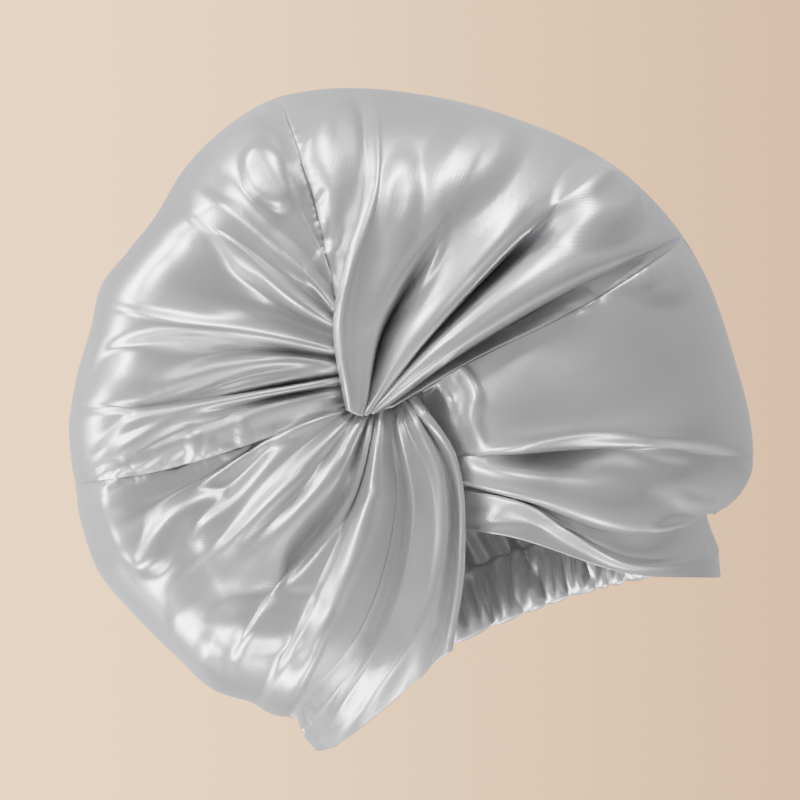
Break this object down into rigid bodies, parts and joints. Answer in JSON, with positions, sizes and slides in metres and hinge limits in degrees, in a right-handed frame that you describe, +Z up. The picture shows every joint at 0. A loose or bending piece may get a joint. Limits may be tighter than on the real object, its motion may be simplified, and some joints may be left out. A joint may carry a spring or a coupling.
{
  "type": "satin twist-front sleep bonnet",
  "caption": "Loose satin sleep bonnet with a full round crown drawn into a twisted knot at the front, a folded front band that opens over the forehead and a gathered elastic hem round the nape.",
  "frame": {"origin": "middle of the head opening, level with the lowest part of the hem at the ears", "axes": "+Z up through the crown, -Y towards the front of the bonnet where the knot is, +X towards the wearer's left"},
  "size_m": [0.335, 0.2379, 0.3066],
  "materials": {
    "satin": "silver-grey satin with a strong soft sheen"
  },
  "bodies": {
    "root": {"crown_right": "satin", "crown_left": "satin", "side_left": "satin", "side_right": "satin", "front_wrap_left": "satin", "front_wrap_right": "satin", "elastic_casing": "satin"}
  },
  "joints": []
}
